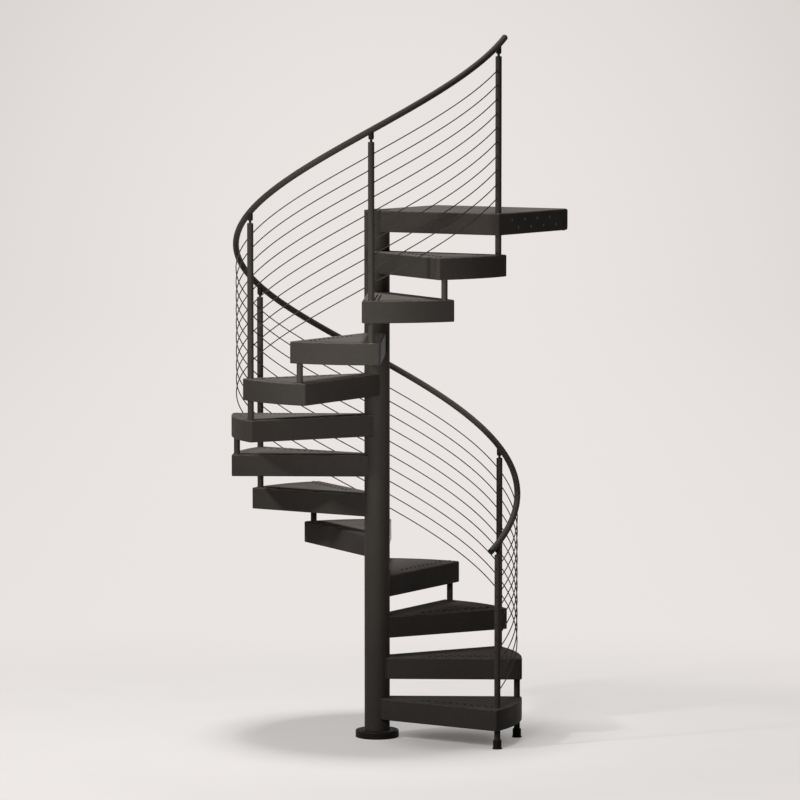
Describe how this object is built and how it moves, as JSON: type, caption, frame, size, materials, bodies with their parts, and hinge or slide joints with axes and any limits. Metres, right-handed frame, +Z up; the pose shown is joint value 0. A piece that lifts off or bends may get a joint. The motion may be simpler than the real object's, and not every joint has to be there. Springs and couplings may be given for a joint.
{
  "type": "spiral staircase",
  "caption": "Steel spiral staircase with wedge treads round a central column, a square landing with a bolting flange, tube balusters, helical handrail and thin infill rods.",
  "frame": {"origin": "the column's axis at floor level", "axes": "+Z up along the column; +X towards the first and last balusters and square to the landing's bolted face; the climb is counter-clockwise seen from above"},
  "size_m": [1.6059, 1.5998, 3.8696],
  "materials": {
    "column_tube": "satin powder coat, near black",
    "tread_sheet": "satin powder coat, near black",
    "baluster_tube": "satin powder coat, near black",
    "handrail_tube": "satin powder coat, near black",
    "infill_rod": "satin coated rod, near black",
    "moulded_fittings": "fine matt moulding, black"
  },
  "bodies": {
    "root": {"column": "column_tube", "tread_01": "tread_sheet", "tread_02": "tread_sheet", "tread_03": "tread_sheet", "tread_04": "tread_sheet", "tread_05": "tread_sheet", "tread_06": "tread_sheet", "tread_07": "tread_sheet", "tread_08": "tread_sheet", "tread_09": "tread_sheet", "tread_10": "tread_sheet", "tread_11": "tread_sheet", "tread_12": "tread_sheet", "landing": "tread_sheet", "baluster_00": "baluster_tube", "baluster_02": "baluster_tube", "baluster_04": "baluster_tube", "baluster_06": "baluster_tube", "baluster_08": "baluster_tube", "baluster_10": "baluster_tube", "baluster_12": "baluster_tube", "tread_spacers": "baluster_tube", "floor_fittings": "moulded_fittings", "handrail_1": "handrail_tube", "handrail_2": "handrail_tube", "handrail_3": "handrail_tube", "handrail_4": "handrail_tube", "handrail_5": "handrail_tube", "handrail_6": "handrail_tube", "handrail_ends": "moulded_fittings", "infill_rods_1": "infill_rod", "infill_rods_2": "infill_rod", "infill_rods_3": "infill_rod", "infill_rods_4": "infill_rod", "infill_rods_5": "infill_rod", "infill_rods_6": "infill_rod", "rail_brackets": "moulded_fittings"}
  },
  "joints": []
}
